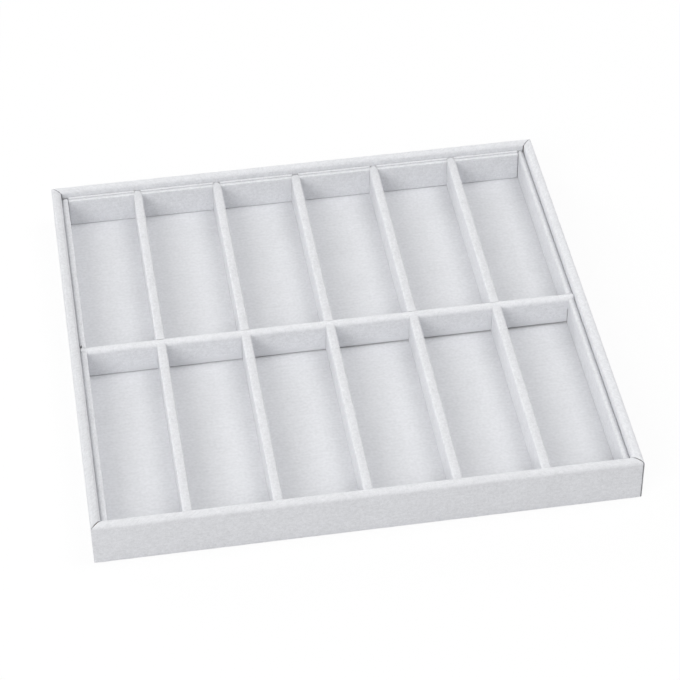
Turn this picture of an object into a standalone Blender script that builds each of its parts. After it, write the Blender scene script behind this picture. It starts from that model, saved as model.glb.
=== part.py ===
"""A shallow open tray for sunglasses, covered in pale grey suede cloth.

Four covered walls stand round a covered floor and meet in mitred corners. A lattice stands loose in
the tray and lifts out: four thin covered liners, one long row divider from side to side and five
cross dividers from front to back, halved into each other and into the liners. Together they make
two rows of six compartments. X runs to the right, Y to the back and Z up, and the origin is the
middle of the underside. Lengths are in metres.
"""
import math

import bmesh
import bpy

# Tray
TRAY_WIDTH = 0.3600
TRAY_DEPTH = 0.3500
TRAY_HEIGHT = 0.0325
WALL_BOARD_THICKNESS = 0.0046
WALL_EDGE_RADIUS = 0.0026
HEM_WIDTH = 0.0120
BASE_BOARD_THICKNESS = 0.0018
FLOOR_LINING_THICKNESS = 0.0013

# Cloth and fits
CLOTH_THICKNESS = 0.0008
GAP = 0.0003
LATTICE_CLEARANCE = 0.0008
CUT_OVERRUN = 0.0020

# Lattice: liners
LINER_BOARD_THICKNESS = 0.0015
LINER_BELOW_RIM = 0.0057
LINER_EDGE_RADIUS = 0.0012

# Lattice: dividers
DIVIDER_BOARD_THICKNESS = 0.0043
CROSS_BELOW_LINER = 0.0002
CROSS_EDGE_RADIUS = 0.0018
ROW_ABOVE_LINER = 0.0004
ROW_FOOT_GAP = 0.0010
ROW_EDGE_RADIUS = 0.0030
END_COMPARTMENT_NARROWER = 0.0042
LAP_SHARE = 0.5
TONGUE_FOOT_SHARE = 0.55
COLUMNS = 6

# Smoothness of a rounded edge, in steps for a quarter turn
ARC_STEPS = 5

# Sizes that follow
COVER_DEPTH = CLOTH_THICKNESS + GAP
WALL_THICKNESS = WALL_BOARD_THICKNESS + 2 * COVER_DEPTH
LINER_THICKNESS = LINER_BOARD_THICKNESS + 2 * COVER_DEPTH
DIVIDER_THICKNESS = DIVIDER_BOARD_THICKNESS + 2 * COVER_DEPTH

BASE_FOOT = COVER_DEPTH
BASE_TOP = BASE_FOOT + BASE_BOARD_THICKNESS
LINING_FOOT = BASE_TOP + GAP
FLOOR = LINING_FOOT + FLOOR_LINING_THICKNESS

LATTICE_FOOT = FLOOR + GAP
LINER_TOP = TRAY_HEIGHT - LINER_BELOW_RIM
CROSS_TOP = LINER_TOP - CROSS_BELOW_LINER
ROW_TOP = LINER_TOP + ROW_ABOVE_LINER
ROW_FOOT = FLOOR + ROW_FOOT_GAP
LAP = LATTICE_FOOT + LAP_SHARE * (CROSS_TOP - LATTICE_FOOT)
TONGUE_FOOT = LATTICE_FOOT + TONGUE_FOOT_SHARE * (LINER_TOP - LATTICE_FOOT)

# Half sizes of the space inside the walls, round the lattice and inside the liners
WELL_X = TRAY_WIDTH / 2 - WALL_THICKNESS
WELL_Y = TRAY_DEPTH / 2 - WALL_THICKNESS
LATTICE_X = WELL_X - LATTICE_CLEARANCE
LATTICE_Y = WELL_Y - LATTICE_CLEARANCE
INNER_X = LATTICE_X - LINER_THICKNESS
INNER_Y = LATTICE_Y - LINER_THICKNESS

CROSS_COUNT = COLUMNS - 1
COMPARTMENT_WIDTH = (2 * (INNER_X + END_COMPARTMENT_NARROWER) - CROSS_COUNT * DIVIDER_THICKNESS) / COLUMNS
CROSS_PITCH = COMPARTMENT_WIDTH + DIVIDER_THICKNESS

# Turns about Z that send a piece's length and inward side along each edge of the tray
TURNS = {"front": 0.0, "right": math.pi / 2, "back": math.pi, "left": -math.pi / 2}

# Base colour, roughness and metallic value of each material
FINISHES = {
    "suede_cloth": ((0.74, 0.75, 0.78, 1.0), 0.95, 0.0),
    "lining_cloth": ((0.72, 0.73, 0.76, 1.0), 0.95, 0.0),
    "underside_cloth": ((0.66, 0.67, 0.70, 1.0), 0.95, 0.0),
    "grey_board": ((0.42, 0.40, 0.37, 1.0), 0.90, 0.0),
    "fibre_board": ((0.50, 0.38, 0.26, 1.0), 0.85, 0.0),
}


def clear_scene():
    """Removes every object that the new file came with."""
    for item in list(bpy.data.objects):
        bpy.data.objects.remove(item, do_unlink=True)


def finish(piece_name, kind):
    """A material of its own for one piece."""
    colour, roughness, metallic = FINISHES[kind]
    material = bpy.data.materials.new(piece_name + "_" + kind)
    material.use_nodes = True
    shader = material.node_tree.nodes["Principled BSDF"]
    shader.inputs["Base Color"].default_value = colour
    shader.inputs["Roughness"].default_value = roughness
    shader.inputs["Metallic"].default_value = metallic
    return material


def rounded_corner(centre_u, centre_z, radius, start_angle):
    """Points of a quarter turn that runs clockwise from start_angle, or its corner if it has no radius."""
    if radius <= 0:
        return [(centre_u, centre_z)]
    points = []
    for step in range(ARC_STEPS + 1):
        angle = start_angle - step * math.pi / 2 / ARC_STEPS
        points.append((centre_u + radius * math.cos(angle), centre_z + radius * math.sin(angle)))
    return points


def rounded_top(left, right, top, radius):
    """The top of a section from its left side over both rounded edges to its right side."""
    radius = max(0.0, min(radius, (right - left) / 2))
    left_edge = rounded_corner(left + radius, top - radius, radius, math.pi)
    right_edge = rounded_corner(right - radius, top - radius, radius, math.pi / 2)
    if right_edge[0][0] - left_edge[-1][0] < GAP:
        right_edge = right_edge[1:]
    return left_edge + right_edge


def board_section(thickness, foot, top, radius):
    """A board inside its cover: u runs across it from the cover's outer face, z up."""
    left = COVER_DEPTH
    right = left + thickness
    over = rounded_top(left, right, top - COVER_DEPTH, radius - COVER_DEPTH)
    return [(left, foot)] + over + [(right, foot)]


def cover_section(thickness, outer_foot, inner_foot, top, radius):
    """Cloth folded over the top of a board, with both of its legs hanging down."""
    full = thickness + 2 * COVER_DEPTH
    inside_left = CLOTH_THICKNESS
    inside_right = full - CLOTH_THICKNESS
    outside = rounded_top(0.0, full, top, radius)
    inside = rounded_top(inside_left, inside_right, top - CLOTH_THICKNESS, radius - CLOTH_THICKNESS)
    section = [(0.0, outer_foot)] + outside + [(full, inner_foot), (inside_right, inner_foot)]
    return section + inside[::-1] + [(inside_left, outer_foot)]


def hemmed_section(thickness, inner_foot, top, radius):
    """The cover of a wall: its outer leg turns in under the wall board as a hem."""
    section = cover_section(thickness, 0.0, inner_foot, top, radius)
    section[-1] = (CLOTH_THICKNESS, CLOTH_THICKNESS)
    return section + [(HEM_WIDTH, CLOTH_THICKNESS), (HEM_WIDTH, 0.0)]


def sweep(section, half_length, mitred=False):
    """A closed mesh along X from a section. Mitred ends draw in by as much as they lie inward."""
    shape = bmesh.new()
    ends = []
    for side in (-1, 1):
        ring = []
        for u, z in section:
            reach = half_length - (u + GAP / math.sqrt(2) if mitred else 0.0)
            ring.append(shape.verts.new((side * reach, u, z)))
        ends.append(ring)
        shape.faces.new(ring)
    count = len(section)
    for index in range(count):
        after = (index + 1) % count
        shape.faces.new((ends[0][index], ends[0][after], ends[1][after], ends[1][index]))
    bmesh.ops.recalc_face_normals(shape, faces=shape.faces)
    return shape


def block(shape, low, high):
    """Adds a box between two corners to a mesh."""
    made = bmesh.ops.create_cube(shape, size=1.0)["verts"]
    for vert in made:
        vert.co = [low[axis] if vert.co[axis] < 0 else high[axis] for axis in range(3)]


def add_object(name, shape, material=None, smooth=False):
    """Turns a finished bmesh into an object of the scene."""
    mesh = bpy.data.meshes.new(name)
    shape.to_mesh(mesh)
    shape.free()
    piece = bpy.data.objects.new(name, mesh)
    bpy.context.scene.collection.objects.link(piece)
    if material:
        mesh.materials.append(material)
    if smooth:
        mesh.shade_smooth()
        mesh.set_sharp_from_angle(angle=math.radians(35))
    return piece


def add_cutter(name, boxes):
    """A guide object of boxes that later pieces are cut with."""
    shape = bmesh.new()
    for low, high in boxes:
        block(shape, low, high)
    cutter = add_object(name, shape)
    cutter.hide_render = True
    cutter.display_type = "WIRE"
    return cutter


def cut(piece, cutters):
    """Cuts a piece with each guide in turn."""
    for cutter in cutters:
        modifier = piece.modifiers.new("cut_by_" + cutter.name, "BOOLEAN")
        modifier.operation = "DIFFERENCE"
        modifier.solver = "EXACT"
        modifier.object = cutter


def place(piece, turn, location, parent=None):
    """Turns a piece about Z, sets it down and hangs it on its parent."""
    piece.rotation_euler = (0.0, 0.0, turn)
    piece.location = location
    if parent:
        piece.parent = parent


def slab(name, half_x, half_y, foot, top, kind):
    """A flat panel of the tray's bottom."""
    shape = bmesh.new()
    block(shape, (-half_x, -half_y, foot), (half_x, half_y, top))
    return add_object(name, shape, finish(name, kind))


def make_bottom():
    """The cloth under the tray, the base board and the cloth-faced floor lining."""
    under_x = TRAY_WIDTH / 2 - HEM_WIDTH - GAP
    under_y = TRAY_DEPTH / 2 - HEM_WIDTH - GAP
    slab("underside_cover", under_x, under_y, 0.0, CLOTH_THICKNESS, "underside_cloth")
    base_x = WELL_X + CLOTH_THICKNESS
    base_y = WELL_Y + CLOTH_THICKNESS
    slab("base_board", base_x, base_y, BASE_FOOT, BASE_TOP, "grey_board")
    slab("floor_lining", WELL_X - GAP, WELL_Y - GAP, LINING_FOOT, FLOOR, "lining_cloth")


def make_walls():
    """Four boards and their cloth covers, mitred at the corners."""
    inner_foot = LINING_FOOT
    board = board_section(WALL_BOARD_THICKNESS, COVER_DEPTH, TRAY_HEIGHT, WALL_EDGE_RADIUS)
    cover = hemmed_section(WALL_BOARD_THICKNESS, inner_foot, TRAY_HEIGHT, WALL_EDGE_RADIUS)
    half_x = TRAY_WIDTH / 2
    half_y = TRAY_DEPTH / 2
    spots = {
        "front": (half_x, (0.0, -half_y, 0.0)),
        "right": (half_y, (half_x, 0.0, 0.0)),
        "back": (half_x, (0.0, half_y, 0.0)),
        "left": (half_y, (-half_x, 0.0, 0.0)),
    }
    for side, (half_length, location) in spots.items():
        for ending, section, kind in (("board", board, "fibre_board"), ("cover", cover, "suede_cloth")):
            name = f"{side}_wall_{ending}"
            piece = add_object(name, sweep(section, half_length, mitred=True), finish(name, kind), smooth=True)
            place(piece, TURNS[side], location)


def cross_places():
    """The middle of each cross divider, from left to right."""
    return [(index - (CROSS_COUNT - 1) / 2) * CROSS_PITCH for index in range(CROSS_COUNT)]


def make_cutters():
    """The slots and notches through which the lattice's pieces pass each other."""
    half_slot = DIVIDER_THICKNESS / 2 + GAP
    far_x = TRAY_WIDTH / 2
    far_y = TRAY_DEPTH / 2
    above = TRAY_HEIGHT + CUT_OVERRUN
    below = LATTICE_FOOT - CUT_OVERRUN
    notch_foot = TONGUE_FOOT - GAP
    reach_x = INNER_X - GAP
    reach_y = INNER_Y - GAP
    columns = [(x - half_slot, x + half_slot) for x in cross_places()]
    boxes = {
        "row_slot": [((-far_x, -half_slot, LAP), (far_x, half_slot, above))],
        "row_notch": [((-far_x, -half_slot, notch_foot), (far_x, half_slot, above))],
        "column_slots": [((low, -far_y, below), (high, far_y, LAP + GAP)) for low, high in columns],
        "column_notches": [((low, -far_y, notch_foot), (high, far_y, above)) for low, high in columns],
        "cross_end_trim": [((-far_x, reach_y, below), (far_x, far_y, TONGUE_FOOT)),
                           ((-far_x, -far_y, below), (far_x, -reach_y, TONGUE_FOOT))],
        "row_end_trim": [((reach_x, -far_y, below), (far_x, far_y, TONGUE_FOOT)),
                         ((-far_x, -far_y, below), (-reach_x, far_y, TONGUE_FOOT))],
    }
    return {name: add_cutter(name + "_guide", parts) for name, parts in boxes.items()}


def make_pair(name, thickness, foot, top, radius, half_length, turn, location, cutters, parent):
    """A board of the lattice and the cloth folded over it."""
    sections = (
        ("board", board_section(thickness, foot, top, radius), "grey_board"),
        ("cover", cover_section(thickness, foot, foot, top, radius), "suede_cloth"),
    )
    for ending, section, kind in sections:
        full_name = f"{name}_{ending}"
        piece = add_object(full_name, sweep(section, half_length), finish(full_name, kind), smooth=True)
        place(piece, turn, location, parent)
        cut(piece, cutters)


def make_liners(cutters, lattice):
    """The four thin boards that stand just inside the walls and carry the dividers' ends."""
    butt_length = INNER_X - GAP
    spots = {
        "front": (butt_length, (0.0, -LATTICE_Y, 0.0), "column_notches"),
        "right": (LATTICE_Y, (LATTICE_X, 0.0, 0.0), "row_notch"),
        "back": (butt_length, (0.0, LATTICE_Y, 0.0), "column_notches"),
        "left": (LATTICE_Y, (-LATTICE_X, 0.0, 0.0), "row_notch"),
    }
    for side, (half_length, location, notch) in spots.items():
        make_pair(f"{side}_liner", LINER_BOARD_THICKNESS, LATTICE_FOOT, LINER_TOP, LINER_EDGE_RADIUS,
                  half_length, TURNS[side], location, [cutters[notch]], lattice)


def make_dividers(cutters, lattice):
    """The row divider, and the cross dividers that it is halved over."""
    half_thickness = DIVIDER_THICKNESS / 2
    make_pair("row_divider", DIVIDER_BOARD_THICKNESS, ROW_FOOT, ROW_TOP, ROW_EDGE_RADIUS,
              WELL_X - GAP, TURNS["front"], (0.0, -half_thickness, 0.0),
              [cutters["column_slots"], cutters["row_end_trim"]], lattice)
    for number, x in enumerate(cross_places(), 1):
        make_pair(f"cross_divider_{number}", DIVIDER_BOARD_THICKNESS, LATTICE_FOOT, CROSS_TOP,
                  CROSS_EDGE_RADIUS, WELL_Y - GAP, TURNS["right"], (x + half_thickness, 0.0, 0.0),
                  [cutters["row_slot"], cutters["cross_end_trim"]], lattice)


def main():
    clear_scene()
    make_bottom()
    make_walls()
    lattice = bpy.data.objects.new("lattice_lift", None)
    bpy.context.scene.collection.objects.link(lattice)
    cutters = make_cutters()
    make_liners(cutters, lattice)
    make_dividers(cutters, lattice)


main()
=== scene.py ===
import math

import bmesh
import bpy
import numpy as np
from mathutils import Matrix, Vector, noise


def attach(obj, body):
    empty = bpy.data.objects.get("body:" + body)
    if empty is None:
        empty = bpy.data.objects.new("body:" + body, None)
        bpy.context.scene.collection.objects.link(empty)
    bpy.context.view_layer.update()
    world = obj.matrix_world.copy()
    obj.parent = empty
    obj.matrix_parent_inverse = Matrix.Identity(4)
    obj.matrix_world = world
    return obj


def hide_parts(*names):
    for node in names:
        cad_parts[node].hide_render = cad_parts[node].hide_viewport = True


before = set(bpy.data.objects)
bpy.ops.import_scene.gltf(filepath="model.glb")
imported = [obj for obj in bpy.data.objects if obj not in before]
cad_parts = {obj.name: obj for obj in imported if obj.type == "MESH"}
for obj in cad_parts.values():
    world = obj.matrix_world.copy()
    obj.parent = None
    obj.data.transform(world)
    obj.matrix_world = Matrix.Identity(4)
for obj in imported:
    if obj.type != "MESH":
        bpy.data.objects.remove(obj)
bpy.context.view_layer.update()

MM = 0.001

# Sizes of the tray in metres, as in its solids
TRAY_WIDTH = 0.3600
TRAY_DEPTH = 0.3500
TRAY_HEIGHT = 0.0325
CLOTH = 0.0008
GAP = 0.0003
WALL = 0.0068
WALL_RADIUS = 0.0026
WALL_INNER_FOOT = 0.0032
HEM = 0.0120
FLOOR_FOOT = 0.0032
FLOOR = 0.0045
LINER = 0.0037
LINER_TOP = 0.0268
DIVIDER = 0.0065
CROSS_TOP = 0.0266
ROW_TOP = 0.0272
ROW_FOOT = 0.0055
ROW_RADIUS = 0.0030
LATTICE_FOOT = 0.0048
LATTICE_PLAY = 0.0008
LAP = 0.0157
TONGUE_FOOT = 0.0169
WELL_X = TRAY_WIDTH / 2 - WALL
WELL_Y = TRAY_DEPTH / 2 - WALL
LATTICE_X = WELL_X - LATTICE_PLAY
LATTICE_Y = WELL_Y - LATTICE_PLAY
INNER_X = LATTICE_X - LINER
INNER_Y = LATTICE_Y - LINER
CROSS_PITCH = 0.0587167
CROSS_PLACES = [CROSS_PITCH * step for step in (-2, -1, 0, 1, 2)]
TURNS = {"front": 0.0, "right": math.pi / 2, "back": math.pi, "left": -math.pi / 2}

# Sizes that the scene alone has. The solids round the cross dividers by 1.8 mm, and the photograph by less.
CROSS_RADIUS = 0.0012
HEM_RADIUS = 0.0010
LINER_CLOTH = 0.5 * MM
LINER_LEAN = 0.6 * MM
TIP = 0.0036
TIP_SHARE = 0.5
TIP_DROP = -0.0004
SNUG = 0.00012
NOTCH_STEPS = [0.0, 0.1, 0.25, 0.45, 0.7, 1.0, 1.4, 1.9, 2.5, 3.2, 4.0, 6.0]
SHOULDER_TURNS = (0.0, 0.4, 0.7, 0.95)

# How a cover is swept, cut and finished
FILLET_STEPS = 7
BAR_STEPS = 8
END_CROWDING = 0.88
LEG_DEPTH = 1.2
INNER_LEG_DROP = 0.0018
CROWN_DEPTH = 0.004
WELD = 0.00001
DRIFT_SCALE = 22.0
LUMP_SCALE = 130.0
CREASE_ANGLE = 50.0
LOW_SEAM_SHARE = 0.6
ABOVE_RIM = 0.05
BEYOND_ENDS = 0.2
SLOT_REACH = 0.02
PANEL_EDGE_SHARE = 0.3
PANEL_WAVES = 16.0

# The cloth, the boards and the lamps
CLOTH_COLOUR = (0.775, 0.782, 0.804)
UNDERSIDE_COLOUR = (0.62, 0.63, 0.66)
BACKING = (0.30, 0.30, 0.31, 1.0)
BACKING_FADE = (0.35, 0.95)
SHEEN_TINT = (0.96, 0.97, 1.0, 1.0)
CLOTH_SHADES = (0.8, 1.2)
MOTTLE_SCALE = 480.0
MOTTLE_TONE = 0.95
MOTTLE_HEIGHT = 0.65
STREAK_SCALES = (120.0, 620.0, 300.0)
STREAK_TONE = 0.3
CLOUD_SCALE = 38.0
CLOUD_TONE = 0.15
FIBRE_SCALE = 2600.0
FIBRE_HEIGHT = 0.35
NAP_DEPTH = 0.0003
BOARD_SHADES = (0.84, 1.14)
BOARD_SCALES = (260.0, 900.0, 900.0)
BOARD_DEPTH = 0.0002
FLECK_SCALE = 1400.0
FLECK_FADE = (0.66, 0.74)
WHITE = (1.0, 1.0, 1.0, 1.0)
FLOOR_WHITE = 0.9
FLOOR_COLOUR = (0.76, 0.76, 0.77, 1.0)
FLOOR_SEEN = (0.98, 0.98, 0.98, 1.0)
FLOOR_REACH = 6.0
FLOOR_DROP = 0.0002
SKY_STRENGTH = 0.475
LAMP_REACH = 4.0
LAMP_SIZE = 2.35
CAMERA_LENS = 132.2057
CAMERA_PLACE = (-0.185883, -1.280474, 1.176302)
CAMERA_TURN = (47.9725, 0.4899, -9.0138)

# How much lighter or darker each cover is than the floor, as a share: partly the lie of its nap and partly
# painted light and shade.
# It was fitted to the photograph along with the lamps, so it makes up for their light in part.
NAP_AND_PAINTED_LIGHT_SHARES = {"front_wall": -0.013, "right_wall": 0.01, "back_wall": 0.0, "left_wall": -0.08,
        "front_liner": 0.0, "right_liner": -0.1, "back_liner": 0.011, "left_liner": 0.05,
        "row_divider": 0.035, **{f"cross_divider_{n}": -0.045 for n in range(1, 6)}}
# Painted light and shade across a cover's thickness: how much lighter still its inner face is painted than
# its middle, and its outer face darker, fitted likewise
WALL_PAINTED_SIDE_SHADES = {"front": 0.0, "right": -0.03, "back": 0.0, "left": 0.0}
LINER_PAINTED_SIDE_SHADES = {"front": 0.0, "right": 0.08, "back": 0.0, "left": 0.0}
CROSS_PAINTED_SIDE_SHADE = 0.045


# Node trees as Python

class Value:
    """An output of a node. Its operators add Math or Vector Math nodes to the same tree."""

    def __init__(self, net, socket):
        self.net = net
        self.socket = socket

    def _apply(self, operation, *others):
        vector = self.socket.type in ("VECTOR", "RGBA")
        kind = "ShaderNodeVectorMath" if vector else "ShaderNodeMath"
        return self.net.node(kind, {"operation": operation}, *others)

    def __add__(self, other):
        return self._apply("ADD", self, other)

    def __radd__(self, other):
        return self._apply("ADD", other, self)

    def __sub__(self, other):
        return self._apply("SUBTRACT", self, other)

    def __rsub__(self, other):
        return self._apply("SUBTRACT", other, self)

    def __mul__(self, other):
        if self.socket.type in ("VECTOR", "RGBA") and not isinstance(other, (tuple, list)):
            if not (isinstance(other, Value) and other.socket.type in ("VECTOR", "RGBA")):
                return self.net.node("ShaderNodeVectorMath", {"operation": "SCALE"}, self, Scale=other)
        return self._apply("MULTIPLY", self, other)

    def __rmul__(self, other):
        return self.__mul__(other)

    def __truediv__(self, other):
        return self._apply("DIVIDE", self, other)

    def __rtruediv__(self, other):
        return self._apply("DIVIDE", other, self)

    def __pow__(self, other):
        return self._apply("POWER", self, other)

    def __neg__(self):
        return self * -1.0

    def __abs__(self):
        return self._apply("ABSOLUTE", self)

    def __lt__(self, other):
        return self._apply("LESS_THAN", self, other)

    def __gt__(self, other):
        return self._apply("GREATER_THAN", self, other)

    def at_least(self, other):
        return self._apply("MAXIMUM", self, other)

    def at_most(self, other):
        return self._apply("MINIMUM", self, other)

    def smooth(self, low, high):
        """0 below low, 1 above high and a soft step between."""
        return self.net.node("ShaderNodeMapRange", {"interpolation_type": "SMOOTHSTEP"}, self,
                             From_Min=low, From_Max=high)

    def part(self, name):
        return self.net.node("ShaderNodeSeparateXYZ", {}, self, out=name)


class Net:
    """A node tree that nodes are added to, each with its settings first and its sockets after."""

    def __init__(self, tree):
        self.tree = tree

    def node(self, kind, settings, *values, out=0, **named):
        made = self.tree.nodes.new(kind)
        for name, setting in settings.items():
            setattr(made, name, setting)
        free = [socket for socket in made.inputs if socket.enabled]
        wanted = list(zip(free, values))
        wanted += [(self.find(free, key.replace("_", " ")), value) for key, value in named.items()]
        for socket, value in wanted:
            if isinstance(value, Value):
                self.tree.links.new(value.socket, socket)
            else:
                socket.default_value = value
        live = [socket for socket in made.outputs if socket.enabled]
        return Value(self, live[out] if isinstance(out, int) else self.find(live, out))

    @staticmethod
    def find(sockets, key):
        return next(socket for socket in sockets if socket.name == key)

    def mix(self, factor, first, second):
        """A colour between two colours."""
        return self.node("ShaderNodeMix", {"data_type": "RGBA"}, factor, first, second)

    def vector(self, x, y, z):
        return self.node("ShaderNodeCombineXYZ", {}, x, y, z)

    def math(self, operation, value):
        return self.node("ShaderNodeMath", {"operation": operation}, value)

    def noise(self, place, scale, detail=2.0, roughness=0.5, out="Fac"):
        return self.node("ShaderNodeTexNoise", {}, Vector=place, Scale=scale, Detail=detail,
                         Roughness=roughness, out=out)

    def painted(self, name):
        """A piece's own attribute, in a material."""
        return self.node("ShaderNodeAttribute", {"attribute_name": name}, out="Fac")

    def stored(self, name):
        """A piece's own attribute, in a tree that builds it."""
        return self.node("GeometryNodeInputNamedAttribute", {"data_type": "FLOAT"}, name, out="Attribute")

    def store(self, geometry, name, value, **more):
        settings = {"data_type": "FLOAT", "domain": "POINT"}
        return self.node("GeometryNodeStoreNamedAttribute", settings, geometry, Name=name, Value=value,
                         **more)


# Materials

def new_material(name, **constants):
    """A material with its net of nodes and its shader, whose steady values are set on its own sockets."""
    material = bpy.data.materials.new(name)
    material.use_nodes = True
    shader = material.node_tree.nodes["Principled BSDF"]
    for key, value in constants.items():
        shader.inputs[key.replace("_", " ")].default_value = value
    return material, Net(material.node_tree), shader


def connect(net, shader, name, value):
    net.tree.links.new(value.socket, shader.inputs[name])


def shades(colour, dark_and_light):
    """A colour made darker and made lighter, neither of them brighter than white."""
    return [(*[min(1.0, c * share) for c in colour], 1.0) for share in dark_and_light]


def cloth_material(name, colour, seed, by_length=True, backing=None, fineness=0.9, strength=1.0):
    """Suede cloth: a short nap in fine mottles and brushed streaks, with softly worn patches."""
    material, net, shader = new_material(name, Roughness=0.95, Specular_IOR_Level=0.25, Sheen_Weight=0.6,
                                         Sheen_Roughness=0.3, Sheen_Tint=SHEEN_TINT)
    if by_length:
        place = net.vector(net.painted("along"), net.painted("girth"), seed * 0.37)
    else:
        place = net.node("ShaderNodeTexCoord", {}, out="Object") + (seed * 0.37, seed * 0.11, 0.0)
    mottle = net.noise(place, MOTTLE_SCALE, 2.0, fineness)
    streak = net.noise(place * STREAK_SCALES, 1.0, 2.0, 0.7)
    cloud = net.noise(place, CLOUD_SCALE, 2.0, 0.5)
    shade = (mottle - 0.5) * (MOTTLE_TONE * strength)
    shade = shade + (streak - 0.5) * STREAK_TONE + (cloud - 0.5) * CLOUD_TONE
    tone = net.mix((shade + 0.5).at_least(0.0).at_most(1.0), *shades(colour, CLOTH_SHADES))
    if backing:
        tone = net.mix(net.painted("outer").smooth(*BACKING_FADE), backing, tone)
    # Painted light and shade: the colour is scaled by the cover's stored tone share, partly the lie of its
    # nap, with a painted side shade across its thickness
    if by_length:
        tone = tone * (net.painted("nap") + 1.0)
    connect(net, shader, "Base Color", tone)
    connect(net, shader, "Roughness", 0.93 + (mottle - 0.5) * 0.12)
    fibre = net.noise(place, FIBRE_SCALE, 2.0, 0.6)
    height = mottle * (MOTTLE_HEIGHT * strength) + fibre * FIBRE_HEIGHT
    normal = net.node("ShaderNodeBump", {}, Strength=0.5, Distance=NAP_DEPTH, Height=height)
    connect(net, shader, "Normal", normal)
    return material


def board_material(name, colour, fleck, seed):
    """Pressed board: short fibres and flecks in a dull ground."""
    material, net, shader = new_material(name, Roughness=0.9, Specular_IOR_Level=0.3)
    place = net.node("ShaderNodeTexCoord", {}, out="Object") + (seed * 0.31, seed * 0.17, 0.0)
    fibres = net.noise(place * BOARD_SCALES, 1.0, 3.0, 0.6)
    flecks = net.noise(place, FLECK_SCALE, 1.0, 0.5)
    ground = net.mix(fibres, *shades(colour, BOARD_SHADES))
    normal = net.node("ShaderNodeBump", {}, Strength=0.4, Distance=BOARD_DEPTH, Height=fibres)
    connect(net, shader, "Base Color", net.mix(flecks.smooth(*FLECK_FADE), ground, (*fleck, 1.0)))
    connect(net, shader, "Roughness", 0.86 + (fibres - 0.5) * 0.2)
    connect(net, shader, "Normal", normal)
    return material


# The folded cover tree

COVER_INPUTS = {"Section": "Object", "Steps": "Int", "Material": "Material",
                **dict.fromkeys(("Half Length", "Cloth", "Mitre", "Far Gap", "Far Draw", "Butt Below",
                                 "Seam Gap", "Seam Depth", "Seam Width", "Inner Open", "Middle", "Top",
                                 "Tip Length", "Tip Share", "Tip Drop", "Unevenness", "Ripple", "Seed",
                                 "Nap And Painted Light", "Lean"), "Float")}


def swept_shell(net, size):
    """The section swept along X, crowded towards the ends and given the cloth's thickness."""
    half = size["Half Length"]
    guide = net.node("GeometryNodeObjectInfo", {}, size["Section"], out="Geometry")
    corners = net.node("GeometryNodeMeshToCurve", {}, guide)
    section = net.node("GeometryNodeFilletCurve", {"mode": "POLY"}, corners, Radius=net.stored("turn"),
                       Count=FILLET_STEPS)
    section = net.store(section, "girth", net.node("GeometryNodeSplineParameter", {}, out="Length"))

    ends = (net.vector(-half, 0.0, 0.0), net.vector(half, 0.0, 0.0))
    line = net.node("GeometryNodeCurvePrimitiveLine", {}, *ends)
    rail = net.node("GeometryNodeResampleCurve", {}, line, Count=size["Steps"])
    share = net.node("GeometryNodeSplineParameter", {}, out="Factor")
    eased = share - net.math("SINE", share * (2 * math.pi)) * (END_CROWDING / (2 * math.pi))
    rail = net.store(rail, "along", (eased * 2.0 - 1.0) * half)
    rail = net.node("GeometryNodeSetPosition", {}, rail, Position=net.vector(net.stored("along"), 0.0, 0.0))
    rail = net.node("GeometryNodeSetCurveNormal", {"mode": "Z_UP"}, rail)

    skin = net.node("GeometryNodeCurveToMesh", {}, rail, section)
    skin = net.node("GeometryNodeTransform", {}, skin, Rotation=(math.pi, 0.0, 0.0))
    skin = net.node("GeometryNodeFlipFaces", {}, skin)
    skin = net.store(skin, "outer", 1.0)
    pushed = net.node("GeometryNodeExtrudeMesh", {"mode": "FACES"}, skin, Individual=False,
                      Offset_Scale=-size["Cloth"])
    top = Value(net, pushed.socket.node.outputs["Top"])
    back = net.node("GeometryNodeFlipFaces", {}, net.store(pushed, "outer", 0.0, Selection=top))
    join = net.tree.nodes.new("GeometryNodeJoinGeometry")
    net.tree.links.new(back.socket, join.inputs[0])
    net.tree.links.new(skin.socket, join.inputs[0])
    return net.node("GeometryNodeMergeByDistance", {}, Value(net, join.outputs[0]), Distance=WELD)


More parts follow.
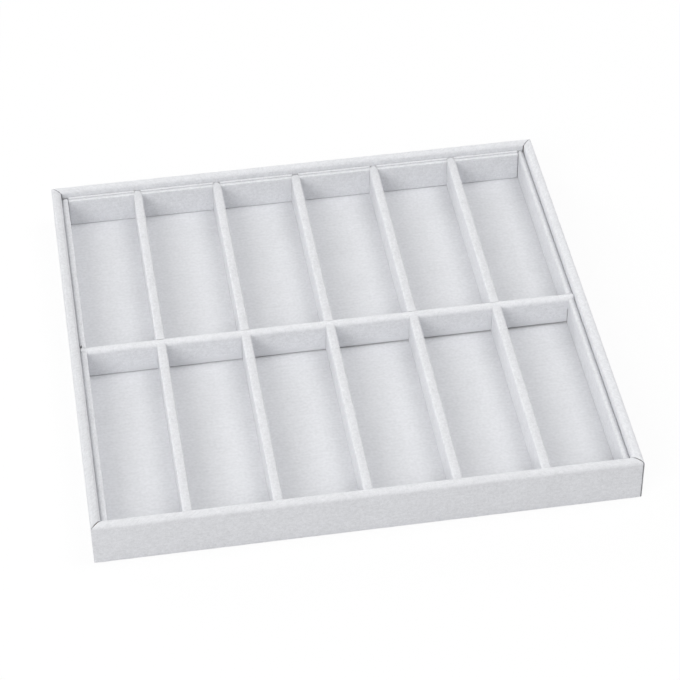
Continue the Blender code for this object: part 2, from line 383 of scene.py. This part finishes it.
def folded_cover_tree():
    """Folds a strip of cloth to a section, mitres or rounds its ends and rolls them in at the seams."""
    tree = bpy.data.node_groups.new("folded_cover", "GeometryNodeTree")
    sockets = {}
    for name, kind in COVER_INPUTS.items():
        socket = tree.interface.new_socket(name, in_out="INPUT", socket_type=f"NodeSocket{kind}")
        sockets[name] = socket.identifier
    tree.interface.new_socket("Geometry", in_out="OUTPUT", socket_type="NodeSocketGeometry")
    net = Net(tree)
    given = tree.nodes.new("NodeGroupInput")
    size = {name: Value(net, given.outputs[name]) for name in COVER_INPUTS}
    half = size["Half Length"]
    shell = swept_shell(net, size)

    # Mitres, and the butted strip of the far cover below them
    place = net.node("GeometryNodeInputPosition", {})
    inward = place.part("Y")
    height = place.part("Z")
    lengthways = place.part("X")
    low = height < size["Butt Below"]
    leg = (inward < size["Cloth"] * LEG_DEPTH) * low
    far_side = inward > size["Middle"] * 2.0 - size["Cloth"] * LEG_DEPTH
    inner_leg = far_side * (height < size["Top"] - INNER_LEG_DROP)
    mitred = inward * size["Mitre"] + size["Seam Gap"] + inner_leg * size["Inner Open"]
    far = (mitred + size["Far Gap"]) * (1.0 - leg) + size["Far Draw"] * leg
    near = mitred * (1.0 - leg) + inward * leg * (height > size["Top"] - WALL_RADIUS)
    squeezed = lengthways * (1.0 - (far + near) / (half * 2.0)) - (far - near) * 0.5
    shell = net.node("GeometryNodeSetPosition", {}, shell, Position=net.vector(squeezed, inward, height))

    # Rounded ends of the dividers
    tip = (1.0 - (half - abs(lengthways)) / size["Tip Length"]).at_least(0.0).at_most(1.0)
    waist = 1.0 - (1.0 - (1.0 - tip * tip) ** 0.5) * size["Tip Share"]
    crown = height.smooth(size["Top"] - CROWN_DEPTH, size["Top"])
    slim = net.vector(lengthways, size["Middle"] + (inward - size["Middle"]) * waist,
                      height - tip * tip * size["Tip Drop"] * crown)
    shell = net.node("GeometryNodeSetPosition", {}, shell, Position=slim)

    # Edges that roll in at the seams
    outer = net.stored("outer")
    normal = net.node("GeometryNodeInputNormal", {}, out="Normal")
    from_end = half - abs(net.stored("along"))
    roll = net.math("EXPONENT", -(from_end / size["Seam Width"]))
    dip = normal * ((roll * outer) * (size["Seam Depth"] * (low * LOW_SEAM_SHARE - 1.0)))
    shell = net.node("GeometryNodeSetPosition", {}, shell, Offset=dip)

    # Unevenness of hand-folded cloth
    spot = place + net.vector(size["Seed"], 0.0, 0.0)
    drift = net.noise(spot, DRIFT_SCALE, 1.0, 0.5, out="Color")
    wander = (drift - (0.5, 0.5, 0.5)) * (size["Unevenness"] * 2.0)
    lumps = normal * ((net.noise(spot, LUMP_SCALE, 1.0, 0.6) - 0.5) * (size["Ripple"] * 2.0) * outer)
    shell = net.node("GeometryNodeSetPosition", {}, shell, Offset=wander + lumps)
    # Painted light and shade: the cover's tone share, partly the lie of its nap, plus a painted side shade
    # that lightens one face of the cover and darkens the other
    shell = net.store(shell, "nap", size["Nap And Painted Light"] + size["Lean"] * (inward / size["Middle"] - 1.0))

    shell = net.node("GeometryNodeSetShadeSmooth", {}, shell)
    shell = net.node("GeometryNodeRealizeInstances", {}, shell)
    shell = net.node("GeometryNodeSetMaterial", {}, shell, Material=size["Material"])
    result = tree.nodes.new("NodeGroupOutput")
    tree.links.new(shell.socket, result.inputs[0])
    return tree, sockets


TREE, SOCKETS = folded_cover_tree()


# Sections, cutters and the frozen pieces

def placed(name, data):
    """An object in the scene's own collection."""
    made = bpy.data.objects.new(name, data)
    bpy.context.scene.collection.objects.link(made)
    return made


def section_guide(corners):
    """A row of corner points (inward, up, radius) that the cover is bent round."""
    mesh = bpy.data.meshes.new("section_guide")
    mesh.from_pydata([(u, z, 0.0) for u, z, _ in corners], [(i, i + 1) for i in range(len(corners) - 1)], [])
    turn = mesh.attributes.new("turn", "FLOAT", "POINT")
    for index, corner in enumerate(corners):
        turn.data[index].value = corner[2]
    return placed("section_guide", mesh)


def leg_points(u, start, end, step=0.0045):
    """Extra points along a straight leg, so that it can give a little."""
    count = max(1, round(abs(end - start) / step))
    return [(u, start + (end - start) * i / count, 0.0) for i in range(1, count)]


def wrap_corners(thickness, foot, inner_foot, top, radius, hem=0.0):
    """Corner points of a cover that is folded over a board, from its outer foot to its inner foot."""
    radius = min(radius, thickness / 2 - 0.05 * MM)
    corners = [(hem, foot, 0.0), (0.0, foot, HEM_RADIUS)] if hem else [(0.0, foot, 0.0)]
    corners += leg_points(0.0, foot, top - radius)
    corners += [(0.0, top - radius - 0.4 * MM, 0.0), (0.0, top, radius), (thickness, top, radius)]
    corners += leg_points(thickness, top - radius, inner_foot)
    corners.append((thickness, inner_foot, 0.0))
    return corners


def liner_corners(ridge=0.0, flat=1.3 * MM, inner=0.9 * MM):
    """The cover of a liner: it leans out towards the wall, and may have a ridge where the cloth turns in."""
    out = -LINER_LEAN
    corners = [(out, LATTICE_FOOT, 0.0)] + leg_points(out, LATTICE_FOOT, LINER_TOP - 3.0 * MM)
    if ridge:
        trough = LINER_TOP - 0.9 * MM
        corners += [(out, LINER_TOP + ridge, 0.65 * MM), (1.0 * MM, LINER_TOP + ridge, 0.65 * MM),
                    (1.15 * MM, trough, 0.1 * MM), (1.5 * MM, trough, 0.1 * MM),
                    (1.65 * MM, LINER_TOP, 0.4 * MM)]
    else:
        corners += [(out, LINER_TOP - 1.0 * MM, 0.6 * MM), (flat, LINER_TOP, 0.6 * MM)]
    corners.append((LINER, LINER_TOP, inner))
    corners += leg_points(LINER, LINER_TOP - inner, LATTICE_FOOT)
    corners.append((LINER, LATTICE_FOOT, 0.0))
    return corners


def loft(shape, levels, axis):
    """Adds a closed solid through outlines at rising levels, (outline, level), along the axis."""
    rings = []
    for outline, level in levels:
        ring = [(a, b, level) if axis == "Z" else (a, level, b) for a, b in outline]
        rings.append([shape.verts.new(point) for point in ring])
    shape.faces.new(rings[0][::-1])
    shape.faces.new(rings[-1])
    for lower, upper in zip(rings, rings[1:]):
        for i in range(len(lower)):
            j = (i + 1) % len(lower)
            shape.faces.new((lower[i], lower[j], upper[j], upper[i]))


def cutter(solids):
    """One object of solids that a cover is cut with: (levels, axis)."""
    shape = bmesh.new()
    for levels, axis in solids:
        loft(shape, levels, axis)
    bmesh.ops.recalc_face_normals(shape, faces=shape.faces)
    mesh = bpy.data.meshes.new("cutter")
    shape.to_mesh(mesh)
    shape.free()
    return placed("cutter", mesh)


def block(x0, x1, z0, z1, u0=-MM, u1=DIVIDER + MM):
    """A cutting block across a cover."""
    outline = [(x0, u0), (x1, u0), (x1, u1), (x0, u1)]
    return [(outline, z0), (outline, z1)], "Z"


def end_trims(reach):
    """Two blocks that leave only a tongue of a divider's cover beyond a reach."""
    return [block(reach, BEYOND_ENDS, 0.0, TONGUE_FOOT), block(-BEYOND_ENDS, -reach, 0.0, TONGUE_FOOT)]


def tip_half(reach):
    """Half the width of a divider at a reach from its rounded end."""
    near = min(1.0, max(0.0, 1.0 - reach / TIP))
    return DIVIDER / 2 * (1.0 - TIP_SHARE * (1.0 - math.sqrt(1.0 - near * near)))


def tip_notch(middle, top, radius):
    """The notch that a divider's rounded end needs in a liner. It closes over the divider's shoulders."""
    end = -LINER_LEAN

    def outline(share):
        reach = [(end + step * MM, tip_half(step * MM) * share + SNUG) for step in NOTCH_STEPS]
        reach = [(end - MM, reach[0][1])] + reach
        return [(middle + half, u) for u, half in reach] + [(middle - half, u) for u, half in reversed(reach)]

    levels = [(outline(1.0), TONGUE_FOOT - SNUG)]
    for turn in SHOULDER_TURNS:
        share = 1.0 - radius * (1.0 - math.cos(turn)) / (DIVIDER / 2)
        levels.append((outline(share), top - radius * (1.0 - math.sin(turn)) + SNUG))
    return levels + [(levels[-1][0], ABOVE_RIM)], "Z"


def rounded_bar(half_width, top, radius, foot, reach):
    """A bar along the second axis with the row divider's rounded top, which its neighbours are cut with."""
    outline = [(-half_width, foot), (half_width, foot)]
    for side in (1, -1):
        for turn in range(BAR_STEPS + 1)[::side]:
            angle = turn / BAR_STEPS * math.pi / 2
            outline.append((side * (half_width - radius + radius * math.cos(angle)),
                            top - radius + radius * math.sin(angle)))
    return [(outline, -reach), (outline, reach)], "Y"


def finish_piece(name, mesh, body, node):
    """Smooths a mesh, makes it a piece in its place and hangs it on its body."""
    mesh.shade_smooth()
    mesh.set_sharp_from_angle(angle=math.radians(CREASE_ANGLE))
    piece = placed(name, mesh)
    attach(piece, body)
    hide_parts(node)


def folded_cover(name, node, body, material, corners, half_length, turn, location, cuts=(), **sizes):
    """A cloth cover built with the tree, cut where other pieces pass, frozen and put in its place."""
    guide = section_guide(corners)
    holder = placed("holder", bpy.data.meshes.new("holder"))
    modifier = holder.modifiers.new("folded_cover", "NODES")
    modifier.node_group = TREE
    values = {"Section": guide, "Half Length": half_length, "Cloth": CLOTH, "Mitre": 0.0,
              "Far Gap": 0.0, "Far Draw": 0.0, "Butt Below": 0.0, "Seam Gap": 0.0, "Seam Depth": 0.0003,
              "Seam Width": 0.0005, "Inner Open": 0.0, "Top": ABOVE_RIM, "Tip Length": TIP,
              "Tip Share": 0.0, "Tip Drop": 0.0, "Unevenness": 0.00006, "Ripple": 0.00016,
              "Nap And Painted Light": NAP_AND_PAINTED_LIGHT_SHARES[name.removesuffix("_cloth")], "Lean": 0.0, "Material": material}
    values.update((key.replace("_", " "), value) for key, value in sizes.items())
    for key, value in values.items():
        modifier[SOCKETS[key]] = value
    cutters = [cutter(solids) for solids in cuts]
    for shape in cutters:
        cut = holder.modifiers.new("cut", "BOOLEAN")
        cut.operation = "DIFFERENCE"
        cut.solver = "EXACT"
        cut.object = shape
    bpy.context.view_layer.update()
    depsgraph = bpy.context.evaluated_depsgraph_get()
    mesh = bpy.data.meshes.new_from_object(holder.evaluated_get(depsgraph), preserve_all_data_layers=True,
                                           depsgraph=depsgraph)
    mesh.name = name
    mesh.transform(Matrix.Translation(location) @ Matrix.Rotation(turn, 4, "Z"))
    holder.modifiers.clear()
    for spare in [holder, guide] + cutters:
        bpy.data.objects.remove(spare, do_unlink=True)
    finish_piece(name, mesh, body, node)


# The tray and its lattice

def make_walls(material):
    half_x = TRAY_WIDTH / 2
    half_y = TRAY_DEPTH / 2
    short = 0.1 * MM
    spots = {"front": (half_x, (0.0, -half_y, 0.0)), "right": (half_y - short, (half_x, short, 0.0)),
             "back": (half_x, (0.0, half_y, 0.0)), "left": (half_y - short, (-half_x, short, 0.0))}
    corners = wrap_corners(WALL, 0.0, WALL_INNER_FOOT, TRAY_HEIGHT, WALL_RADIUS, hem=HEM)
    far_gaps = {"front": 0.3 * MM, "right": 0.0, "back": 0.0, "left": 0.15 * MM}
    opens = {"front": 0.15 * MM, "right": 0.15 * MM, "back": 0.5 * MM, "left": 0.15 * MM}
    for number, (side, (half_length, location)) in enumerate(spots.items()):
        folded_cover(f"{side}_wall_cloth", f"{side}_wall_cover", "tray", material, corners, half_length,
                     TURNS[side], location, Steps=210, Seed=float(number), Mitre=1.0, Middle=WALL / 2,
                     Top=TRAY_HEIGHT, Butt_Below=TRAY_HEIGHT - 0.7 * MM, Far_Draw=CLOTH + 0.18 * MM,
                     Far_Gap=far_gaps[side], Inner_Open=opens[side], Seam_Gap=0.12 * MM,
                     Seam_Depth=0.4 * MM, Seam_Width=0.8 * MM, Lean=WALL_PAINTED_SIDE_SHADES[side])


def make_liners(material):
    butt = INNER_X - GAP
    reach = LATTICE_Y + 0.4 * MM
    short = 0.3 * MM
    columns = [tip_notch(x, CROSS_TOP, CROSS_RADIUS) for x in CROSS_PLACES]
    row = [tip_notch(0.0, ROW_TOP, ROW_RADIUS)]
    left_row = [tip_notch(-short, ROW_TOP, ROW_RADIUS)]
    nick = [block(-4.9 * MM - short, -2.3 * MM - short, LINER_TOP - 4.0 * MM, ABOVE_RIM, -MM, 0.8 * MM)]
    spots = {"front": (butt, (0.0, -LATTICE_Y, 0.0), [columns], liner_corners()),
             "right": (reach, (LATTICE_X, 0.0, 0.0), [row], liner_corners(inner=1.7 * MM)),
             "back": (butt, (0.0, LATTICE_Y, 0.0), [columns], liner_corners(ridge=0.8 * MM)),
             "left": (reach - short, (-LATTICE_X, -short, 0.0), [left_row, nick],
                      liner_corners(flat=0.5 * MM))}
    for number, (side, (half_length, location, cuts, corners)) in enumerate(spots.items()):
        folded_cover(f"{side}_liner_cloth", f"{side}_liner_cover", "lattice", material, corners, half_length,
                     TURNS[side], location, cuts, Steps=110, Seed=10.0 + number, Cloth=LINER_CLOTH,
                     Middle=LINER / 2, Lean=LINER_PAINTED_SIDE_SHADES[side])


def make_dividers(material):
    half_slot = DIVIDER / 2 + SNUG
    shared = {"Steps": 150, "Middle": DIVIDER / 2, "Tip_Share": TIP_SHARE, "Tip_Drop": TIP_DROP,
              "Seam_Depth": 0.0}

    foot = ROW_FOOT - 0.5 * MM
    corners = wrap_corners(DIVIDER, foot, foot, ROW_TOP, ROW_RADIUS)
    slots = [block(x - half_slot, x + half_slot, 0.0, LAP + SNUG) for x in CROSS_PLACES]
    rise = [(-WELL_X, 0.0), (WELL_X, 0.0), (WELL_X, foot + 1.1 * MM), (-WELL_X, foot - 0.1 * MM)]
    wedge = [([(rise, -MM), (rise, DIVIDER + MM)], "Y")]
    folded_cover("row_divider_cloth", "row_divider_cover", "lattice", material, corners, WELL_X - GAP,
                 TURNS["front"], (0.0, -DIVIDER / 2, 0.0), [slots, end_trims(INNER_X - GAP), wedge],
                 Seed=20.0, Top=ROW_TOP, **shared)

    foot = LATTICE_FOOT - 0.2 * MM
    corners = wrap_corners(DIVIDER, foot, foot, CROSS_TOP, CROSS_RADIUS)
    slot = [rounded_bar(half_slot, ROW_TOP + SNUG, ROW_RADIUS, LAP, SLOT_REACH)]
    for number, x in enumerate(CROSS_PLACES, 1):
        folded_cover(f"cross_divider_{number}_cloth", f"cross_divider_{number}_cover", "lattice", material,
                     corners, WELL_Y - 0.25 * MM, TURNS["right"], (x + DIVIDER / 2, 0.0, 0.0),
                     [slot, end_trims(INNER_Y - GAP)], Seed=30.0 + number, Top=CROSS_TOP,
                     Lean=CROSS_PAINTED_SIDE_SHADE, **shared)


def panel(name, node, body, material, half_x, half_y, foot, top, count, unevenness, edge, seed,
          down=False):
    """A flat cloth-faced panel with softly rounded edges and a slightly uneven face, up or down."""
    def stations(half):
        inner = np.linspace(-half + edge, half - edge, count)
        step = PANEL_EDGE_SHARE * edge
        return np.concatenate([[-half, -half + step], inner, [half - step, half]])

    xs = stations(half_x)
    ys = stations(half_y)
    wide = len(xs)
    deep = len(ys)
    points = []
    for y in ys:
        for x in xs:
            inset = min(half_x - abs(x), half_y - abs(y), edge)
            z = top - edge + math.sqrt(max(0.0, edge ** 2 - (edge - inset) ** 2))
            if inset >= edge * 0.999:
                z += noise.noise(Vector((x * PANEL_WAVES + seed, y * PANEL_WAVES, seed))) * unevenness
            points.append((x, y, z))
    faces = [(j * wide + i, j * wide + i + 1, (j + 1) * wide + i + 1, (j + 1) * wide + i)
             for j in range(deep - 1) for i in range(wide - 1)]
    rim = list(range(wide)) + [j * wide + wide - 1 for j in range(1, deep)]
    rim += [(deep - 1) * wide + i for i in range(wide - 2, -1, -1)]
    rim += [j * wide for j in range(deep - 2, 0, -1)]
    first = len(points)
    points += [(points[i][0], points[i][1], foot) for i in rim]
    for index in range(len(rim)):
        after = (index + 1) % len(rim)
        faces.append((rim[after], rim[index], first + index, first + after))
    faces.append(tuple(first + index for index in range(len(rim) - 1, -1, -1)))
    mesh = bpy.data.meshes.new(name)
    mesh.from_pydata(points, [], faces)
    shape = bmesh.new()
    shape.from_mesh(mesh)
    if down:
        bmesh.ops.scale(shape, vec=(1.0, 1.0, -1.0), verts=shape.verts)
        bmesh.ops.translate(shape, vec=(0.0, 0.0, foot + top), verts=shape.verts)
    bmesh.ops.recalc_face_normals(shape, faces=shape.faces)
    shape.to_mesh(mesh)
    shape.free()
    mesh.materials.append(material)
    finish_piece(name, mesh, body, node)


def dress_boards(frame_nodes):
    """Gives the boards of the solids their fibres: browner in the walls."""
    grey_board = board_material("grey_board", (0.42, 0.40, 0.37), (0.25, 0.24, 0.23), 1.0)
    fibre_board = board_material("fibre_board", (0.50, 0.38, 0.26), (0.32, 0.22, 0.14), 2.0)
    for name, node in frame_nodes.items():
        if name.endswith("_board"):
            node.data.materials.clear()
            node.data.materials.append(fibre_board if "wall" in name else grey_board)


# Stage, light and camera

def seen_rays(net, *kinds):
    """1 on the rays of the kinds named, such as those that the camera sees, and 0 on others."""
    rays = net.tree.nodes.new("ShaderNodeLightPath")
    seen = Value(net, rays.outputs[f"Is {kinds[0]} Ray"])
    for kind in kinds[1:]:
        seen = seen + Value(net, rays.outputs[f"Is {kind} Ray"])
    return seen.at_most(1.0)


def make_floor():
    """A plain pale floor, white to the camera, that keeps part of the tray's shadow."""
    mesh = bpy.data.meshes.new("studio_floor")
    corners = [(-1, -1), (1, -1), (1, 1), (-1, 1)]
    mesh.from_pydata([(x * FLOOR_REACH, y * FLOOR_REACH, 0) for x, y in corners], [], [(0, 1, 2, 3)])
    floor = placed("studio_floor", mesh)
    material = bpy.data.materials.new("studio_floor")
    material.use_nodes = True
    net = Net(material.node_tree)
    net.tree.nodes.remove(net.tree.nodes["Principled BSDF"])
    seen = seen_rays(net, "Camera", "Glossy")
    plain = net.node("ShaderNodeBsdfDiffuse", {}, net.mix(seen, FLOOR_COLOUR, FLOOR_SEEN))
    white = net.node("ShaderNodeEmission", {}, Color=WHITE, Strength=1.0)
    mixed = net.node("ShaderNodeMixShader", {}, seen * FLOOR_WHITE, plain, white)
    net.tree.links.new(mixed.socket, net.tree.nodes["Material Output"].inputs["Surface"])
    mesh.materials.append(material)
    floor.location = (0.0, 0.0, -FLOOR_DROP)


def make_world():
    """A white sky, dimmer as a light than as it is seen."""
    world = bpy.data.worlds.new("studio")
    bpy.context.scene.world = world
    world.use_nodes = True
    net = Net(world.node_tree)
    strength = seen_rays(net, "Camera", "Glossy", "Transmission") * (1.0 - SKY_STRENGTH) + SKY_STRENGTH
    background = net.tree.nodes["Background"]
    background.inputs["Color"].default_value = WHITE
    net.tree.links.new(strength.socket, background.inputs["Strength"])


def soft_light(name, bearing, rise, power):
    """A round soft lamp at a bearing and a rise in degrees, turned to the middle of the tray."""
    lamp = bpy.data.lights.new(name, "AREA")
    lamp.shape = "DISK"
    lamp.size = LAMP_SIZE
    lamp.energy = power
    bearing = math.radians(bearing)
    rise = math.radians(rise)
    place = Vector((math.cos(bearing) * math.cos(rise), math.sin(bearing) * math.cos(rise), math.sin(rise)))
    made = placed(name, lamp)
    made.location = place * LAMP_REACH
    made.rotation_euler = (-place).to_track_quat("-Z", "Y").to_euler()


def make_camera():
    camera = bpy.data.cameras.new("camera")
    camera.sensor_width = 36.0
    camera.lens = CAMERA_LENS
    camera.clip_end = 20.0
    made = placed("camera", camera)
    made.location = CAMERA_PLACE
    made.rotation_euler = [math.radians(angle) for angle in CAMERA_TURN]
    bpy.context.scene.camera = made


wall_suede = cloth_material("suede_cloth", CLOTH_COLOUR, 1.0, backing=BACKING)
suede = cloth_material("suede_cloth_inside", CLOTH_COLOUR, 4.0)
lining = cloth_material("lining_cloth", CLOTH_COLOUR, 2.0, by_length=False, fineness=0.4, strength=0.5)
under = cloth_material("underside_cloth", UNDERSIDE_COLOUR, 3.0, by_length=False)
dress_boards(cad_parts)
make_walls(wall_suede)
make_liners(suede)
make_dividers(suede)
panel("floor_lining_cloth", "floor_lining", "tray", lining, WELL_X - GAP, WELL_Y - GAP,
      FLOOR_FOOT, FLOOR - 0.0001, count=260, unevenness=0.0001, edge=0.0004, seed=5.0)
panel("underside_cloth", "underside_cover", "tray", under, TRAY_WIDTH / 2 - HEM - GAP,
      TRAY_DEPTH / 2 - HEM - GAP, 0.0, CLOTH, count=90, unevenness=0.00003, edge=0.0003, seed=9.0, down=True)
make_floor()
make_world()
soft_light("left_front_lamp", bearing=225.0, rise=35.0, power=56.0)
soft_light("high_left_lamp", bearing=180.0, rise=65.0, power=6.9)
soft_light("high_right_lamp", bearing=0.0, rise=65.0, power=46.5)
soft_light("low_back_lamp", bearing=135.0, rise=14.0, power=51.4)
soft_light("low_right_lamp", bearing=0.0, rise=14.0, power=11.0)
make_camera()
bpy.context.scene.view_settings.view_transform = "Standard"
